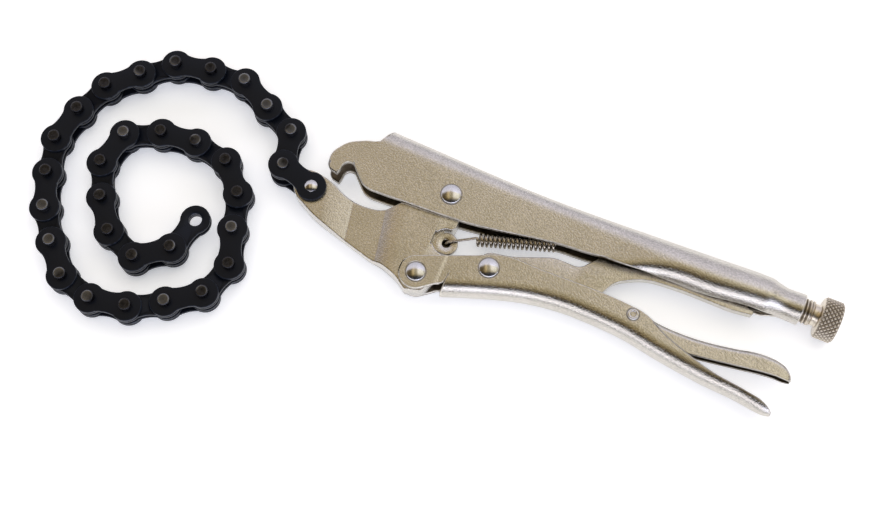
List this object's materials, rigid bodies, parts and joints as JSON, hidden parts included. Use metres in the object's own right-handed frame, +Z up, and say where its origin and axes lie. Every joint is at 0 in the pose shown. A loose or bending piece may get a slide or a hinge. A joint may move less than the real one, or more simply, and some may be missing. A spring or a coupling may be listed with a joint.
{
  "type": "locking chain clamp",
  "caption": "Locking chain clamp pliers: over-centre folded-steel handles, forged nose, adjusting screw, and a pin chain that wraps a pipe and hooks into the upper handle.",
  "frame": {"origin": "under the middle of the bounding box, on the surface the tool lies on", "axes": "+X along the adjusting screw from the hook towards the knob, +Y from the lower handle towards the upper handle, +Z up along every rivet and chain pin, with the tool lying on its side"},
  "size_m": [0.3407, 0.1264, 0.0178],
  "materials": {
    "satin_nickel": "blasted and nickel plated, satin",
    "bright_nickel": "polished nickel",
    "black_oxide": "black oxide, oiled",
    "spring_steel": "drawn wire, zinc bright"
  },
  "bodies": {
    "frame": {"upper_handle": "satin_nickel", "main_rivet": "bright_nickel", "return_spring": "spring_steel"},
    "jaw": {"lower_jaw": "satin_nickel"},
    "handle": {"lower_handle": "satin_nickel", "jaw_rivet": "bright_nickel", "link_rivet": "bright_nickel", "release_lever_rivet": "bright_nickel"},
    "link": {"toggle_link": "satin_nickel"},
    "lever": {"release_lever": "satin_nickel"},
    "screw": {"adjusting_screw": "satin_nickel"},
    "knob": {"screw_knob": "satin_nickel"},
    "nose_link": {"nose_link_top": "black_oxide", "nose_link_bottom": "black_oxide", "nose_link_rivet": "bright_nickel"},
    "chain_01": {"chain_outer_link_01": "black_oxide"},
    "chain_02": {"chain_inner_link_02": "black_oxide"},
    "chain_03": {"chain_outer_link_03": "black_oxide"},
    "chain_04": {"chain_inner_link_04": "black_oxide"},
    "chain_05": {"chain_outer_link_05": "black_oxide"},
    "chain_06": {"chain_inner_link_06": "black_oxide"},
    "chain_07": {"chain_outer_link_07": "black_oxide"},
    "chain_08": {"chain_inner_link_08": "black_oxide"},
    "chain_09": {"chain_outer_link_09": "black_oxide"},
    "chain_10": {"chain_inner_link_10": "black_oxide"},
    "chain_11": {"chain_outer_link_11": "black_oxide"},
    "chain_12": {"chain_inner_link_12": "black_oxide"},
    "chain_13": {"chain_outer_link_13": "black_oxide"},
    "chain_14": {"chain_inner_link_14": "black_oxide"},
    "chain_15": {"chain_outer_link_15": "black_oxide"},
    "chain_16": {"chain_inner_link_16": "black_oxide"},
    "chain_17": {"chain_outer_link_17": "black_oxide"},
    "chain_18": {"chain_inner_link_18": "black_oxide"},
    "chain_19": {"chain_outer_link_19": "black_oxide"},
    "chain_20": {"chain_inner_link_20": "black_oxide"},
    "chain_21": {"chain_outer_link_21": "black_oxide"},
    "chain_22": {"chain_inner_link_22": "black_oxide"},
    "chain_23": {"chain_outer_link_23": "black_oxide"},
    "chain_24": {"chain_inner_link_24": "black_oxide"},
    "chain_25": {"chain_outer_link_25": "black_oxide"},
    "chain_26": {"chain_inner_link_26": "black_oxide"},
    "chain_27": {"chain_outer_link_27": "black_oxide"},
    "chain_28": {"chain_inner_link_28": "black_oxide"},
    "chain_29": {"chain_outer_link_29": "black_oxide"},
    "chain_30": {"chain_inner_link_30": "black_oxide"}
  },
  "joints": [
    {"name": "jaw_open", "type": "hinge", "parent": "frame", "child": "jaw", "pos_m": [0.00359, 0.04157, 0.0089], "axis": [0, 0, 1], "range_deg": [0, 10.9], "deforming": ["return_spring"]},
    {"name": "handle_open", "type": "hinge", "parent": "jaw", "child": "handle", "pos_m": [0.00319, 0.00437, 0.0089], "axis": [0, 0, -1], "range_deg": [0, 58]},
    {"name": "link_swing", "type": "hinge", "parent": "handle", "child": "link", "pos_m": [0.03039, 0.01747, 0.0089], "axis": [0, 0, 1], "range_deg": [0, 61]},
    {"name": "release_lever_press", "type": "hinge", "parent": "handle", "child": "lever", "pos_m": [0.09209, 0.02167, 0.0089], "axis": [0, 0, -1], "range_deg": [0, 6]},
    {"name": "screw_travel", "type": "slide", "parent": "frame", "child": "screw", "axis": [1, 0, 0], "range_m": [0, 0.012]},
    {"name": "knob_turn", "type": "hinge", "parent": "screw", "child": "knob", "pos_m": [0.16659, 0.05227, 0.0089], "axis": [1, 0, 0], "range_deg": [0, 2881]},
    {"name": "nose_link_swing", "type": "hinge", "parent": "jaw", "child": "nose_link", "pos_m": [-0.05251, 0.02247, 0.0089], "axis": [0, 0, 1], "range_deg": [-10, 60]},
    {"name": "chain_pin_01", "type": "hinge", "parent": "nose_link", "child": "chain_01", "pos_m": [-0.06769, 0.02711, 0.0089], "axis": [0, 0, -1], "range_deg": [-56, 30]},
    {"name": "chain_pin_02", "type": "hinge", "parent": "chain_01", "child": "chain_02", "pos_m": [-0.07126, 0.04258, 0.0089], "axis": [0, 0, -1], "range_deg": [-34, 52]},
    {"name": "chain_pin_03", "type": "hinge", "parent": "chain_02", "child": "chain_03", "pos_m": [-0.08565, 0.04929, 0.0089], "axis": [0, 0, 1], "range_deg": [-30, 18]},
    {"name": "chain_pin_04", "type": "hinge", "parent": "chain_03", "child": "chain_04", "pos_m": [-0.0998, 0.0565, 0.0089], "axis": [0, 0, 1], "range_deg": [-30, 10]},
    {"name": "chain_pin_05", "type": "hinge", "parent": "chain_04", "child": "chain_05", "pos_m": [-0.11565, 0.05567, 0.0089], "axis": [0, 0, 1], "range_deg": [-30, 8]},
    {"name": "chain_pin_06", "type": "hinge", "parent": "chain_05", "child": "chain_06", "pos_m": [-0.13123, 0.05264, 0.0089], "axis": [0, 0, -1], "range_deg": [-6, 30]},
    {"name": "chain_pin_07", "type": "hinge", "parent": "chain_06", "child": "chain_07", "pos_m": [-0.14339, 0.04243, 0.0089], "axis": [0, 0, -1], "range_deg": [-6, 30]},
    {"name": "chain_pin_08", "type": "hinge", "parent": "chain_07", "child": "chain_08", "pos_m": [-0.15481, 0.03141, 0.0089], "axis": [0, 0, -1], "range_deg": [-6, 30]},
    {"name": "chain_pin_09", "type": "hinge", "parent": "chain_08", "child": "chain_09", "pos_m": [-0.1605, 0.01658, 0.0089], "axis": [0, 0, 1], "range_deg": [-30, 8]},
    {"name": "chain_pin_10", "type": "hinge", "parent": "chain_09", "child": "chain_10", "pos_m": [-0.16326, 0.00095, 0.0089], "axis": [0, 0, 1], "range_deg": [-30, 14]},
    {"name": "chain_pin_11", "type": "hinge", "parent": "chain_10", "child": "chain_11", "pos_m": [-0.15915, -0.01438, 0.0089], "axis": [0, 0, 1], "range_deg": [-30, 14]},
    {"name": "chain_pin_12", "type": "hinge", "parent": "chain_11", "child": "chain_12", "pos_m": [-0.15269, -0.02889, 0.0089], "axis": [0, 0, -1], "range_deg": [-12, 30]},
    {"name": "chain_pin_13", "type": "hinge", "parent": "chain_12", "child": "chain_13", "pos_m": [-0.14292, -0.0414, 0.0089], "axis": [0, 0, 1], "range_deg": [-30, 10]},
    {"name": "chain_pin_14", "type": "hinge", "parent": "chain_13", "child": "chain_14", "pos_m": [-0.13189, -0.05281, 0.0089], "axis": [0, 0, -1], "range_deg": [-8, 30]},
    {"name": "chain_pin_15", "type": "hinge", "parent": "chain_14", "child": "chain_15", "pos_m": [-0.11663, -0.05719, 0.0089], "axis": [0, 0, 1], "range_deg": [-30, 8]},
    {"name": "chain_pin_16", "type": "hinge", "parent": "chain_15", "child": "chain_16", "pos_m": [-0.101, -0.05443, 0.0089], "axis": [0, 0, -1], "range_deg": [-8, 16]},
    {"name": "chain_pin_17", "type": "hinge", "parent": "chain_16", "child": "chain_17", "pos_m": [-0.08725, -0.0465, 0.0089], "axis": [0, 0, -1], "range_deg": [-8, 10]},
    {"name": "chain_pin_18", "type": "hinge", "parent": "chain_17", "child": "chain_18", "pos_m": [-0.07441, -0.03716, 0.0089], "axis": [0, 0, 1], "range_deg": [-10, 8]},
    {"name": "chain_pin_19", "type": "hinge", "parent": "chain_18", "child": "chain_19", "pos_m": [-0.06977, -0.02198, 0.0089], "axis": [0, 0, 1], "range_deg": [-12, 10]},
    {"name": "chain_pin_20", "type": "hinge", "parent": "chain_19", "child": "chain_20", "pos_m": [-0.07545, -0.00716, 0.0089], "axis": [0, 0, -1], "range_deg": [-10, 20]},
    {"name": "chain_pin_21", "type": "hinge", "parent": "chain_20", "child": "chain_21", "pos_m": [-0.0801, 0.00802, 0.0089], "axis": [0, 0, -1], "range_deg": [-10, 24]},
    {"name": "chain_pin_22", "type": "hinge", "parent": "chain_21", "child": "chain_22", "pos_m": [-0.09112, 0.01944, 0.0089], "axis": [0, 0, -1], "range_deg": [-6, 20]},
    {"name": "chain_pin_23", "type": "hinge", "parent": "chain_22", "child": "chain_23", "pos_m": [-0.10671, 0.02247, 0.0089], "axis": [0, 0, 1], "range_deg": [-24, 4]},
    {"name": "chain_pin_24", "type": "hinge", "parent": "chain_23", "child": "chain_24", "pos_m": [-0.1225, 0.02081, 0.0089], "axis": [0, 0, 1], "range_deg": [-18, 4]},
    {"name": "chain_pin_25", "type": "hinge", "parent": "chain_24", "child": "chain_25", "pos_m": [-0.13688, 0.0141, 0.0089], "axis": [0, 0, 1], "range_deg": [-14, 4]},
    {"name": "chain_pin_26", "type": "hinge", "parent": "chain_25", "child": "chain_26", "pos_m": [-0.13991, -0.00148, 0.0089], "axis": [0, 0, 1], "range_deg": [-18, 10]},
    {"name": "chain_pin_27", "type": "hinge", "parent": "chain_26", "child": "chain_27", "pos_m": [-0.1327, -0.01563, 0.0089], "axis": [0, 0, -1], "range_deg": [-24, 24]},
    {"name": "chain_pin_28", "type": "hinge", "parent": "chain_27", "child": "chain_28", "pos_m": [-0.12272, -0.02797, 0.0089], "axis": [0, 0, -1], "range_deg": [-40, 24]},
    {"name": "chain_pin_29", "type": "hinge", "parent": "chain_28", "child": "chain_29", "pos_m": [-0.1081, -0.03417, 0.0089], "axis": [0, 0, 1], "range_deg": [-10, 40]},
    {"name": "chain_pin_30", "type": "hinge", "parent": "chain_29", "child": "chain_30", "pos_m": [-0.09542, -0.02462, 0.0089], "axis": [0, 0, 1], "range_deg": [-14, 40]}
  ],
  "couplings": [
    {"joint": "jaw_open", "follows": "handle_open", "ratio": 0.186},
    {"joint": "link_swing", "follows": "handle_open", "ratio": 1.045},
    {"joint": "knob_turn", "follows": "screw_travel", "rad_per_m": 4188.8}
  ]
}
